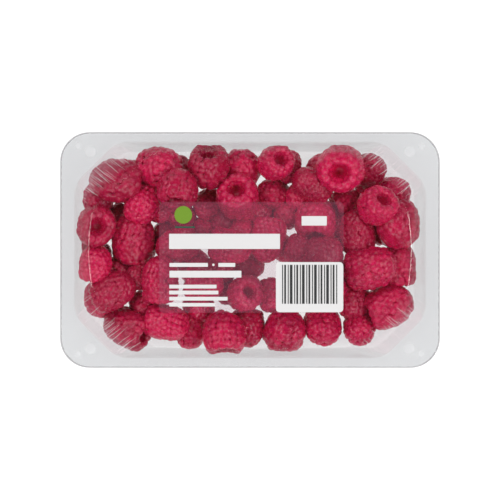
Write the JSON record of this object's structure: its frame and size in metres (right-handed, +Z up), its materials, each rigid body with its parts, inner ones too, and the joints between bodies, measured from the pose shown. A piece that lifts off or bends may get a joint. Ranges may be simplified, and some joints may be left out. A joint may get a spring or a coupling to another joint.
{
  "type": "punnet of raspberries",
  "caption": "Shut clear plastic punnet with a flanged tray, a raised chamfered lid with a see-through label on top, and a heap of ripe raspberries inside.",
  "frame": {"origin": "middle of the underside of the tray's floor, on the surface that the punnet stands on", "axes": "+Z up out of the lid, +X along the length of the pack, +Y across it, away from a person reading the label"},
  "size_m": [0.187, 0.116, 0.0389],
  "materials": {
    "clear_plastic": "clear thermoformed plastic sheet, glossy",
    "label_film": "see-through self-adhesive film, satin",
    "raspberry_flesh": "ripe raspberry skin with a soft bloom of fine hairs"
  },
  "bodies": {
    "root": {"tray": "clear_plastic", "lid": "clear_plastic", "label": "label_film", "raspberries": "raspberry_flesh"}
  },
  "joints": []
}
